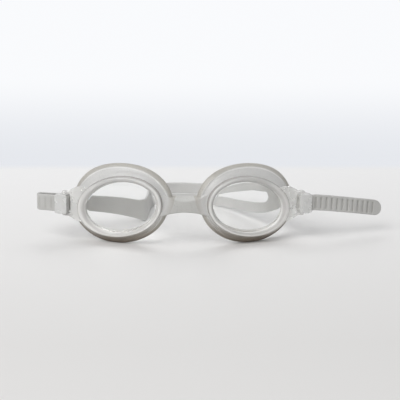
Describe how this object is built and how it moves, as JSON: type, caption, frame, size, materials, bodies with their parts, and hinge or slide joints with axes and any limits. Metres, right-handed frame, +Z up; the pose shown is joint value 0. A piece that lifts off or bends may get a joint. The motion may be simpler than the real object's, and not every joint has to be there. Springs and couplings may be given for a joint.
{
  "type": "swimming goggles",
  "caption": "Clear swimming goggles with oval lenses in a soft one-piece silicone frame, swivelling temple clips and a toothed silicone strap split at the back of the head.",
  "frame": {"origin": "on the surface that the goggles rest on, under the middle of their outline", "axes": "+X to the right as seen from the front, from the folded end of the strap to its free end; +Y from the front of the lenses toward the back of the head; +Z up, the way the goggles lie"},
  "size_m": [0.2212, 0.103, 0.0517],
  "materials": {
    "frame_silicone": "satin",
    "strap_silicone": "satin",
    "clear_plastic": "gloss",
    "pin_plastic": "gloss"
  },
  "bodies": {
    "goggles": {"silicone_frame": "frame_silicone", "left_lens": "clear_plastic", "right_lens": "clear_plastic", "left_hinge_pin": "pin_plastic", "right_hinge_pin": "pin_plastic", "head_strap": "strap_silicone"},
    "left_clip": {"left_clip": "clear_plastic", "left_strap_fold": "strap_silicone"},
    "right_clip": {"right_clip": "clear_plastic"},
    "right_tail": {"right_tail": "strap_silicone"},
    "upper_band": {"upper_band": "strap_silicone"}
  },
  "joints": [
    {"name": "left_clip_swivel", "type": "hinge", "parent": "goggles", "child": "left_clip", "pos_m": [-0.09263, -0.03274, 0.0255], "axis": [0, 0, -1], "range_deg": [-10, 25], "deforming": ["head_strap"]},
    {"name": "right_clip_swivel", "type": "hinge", "parent": "goggles", "child": "right_clip", "pos_m": [0.056, -0.03274, 0.0255], "axis": [0, 0, 1], "range_deg": [-10, 45], "deforming": ["head_strap"]},
    {"name": "right_tail_slide", "type": "slide", "parent": "right_clip", "child": "right_tail", "axis": [0.9659, 0.2588, 0], "range_m": [0, 0.005]},
    {"name": "upper_band_lift", "type": "hinge", "parent": "goggles", "child": "upper_band", "pos_m": [-0.04224, 0.00933, 0.0127], "axis": [0.9588, -0.2112, 0.1902], "range_deg": [0, 50], "deforming": ["head_strap"]}
  ]
}
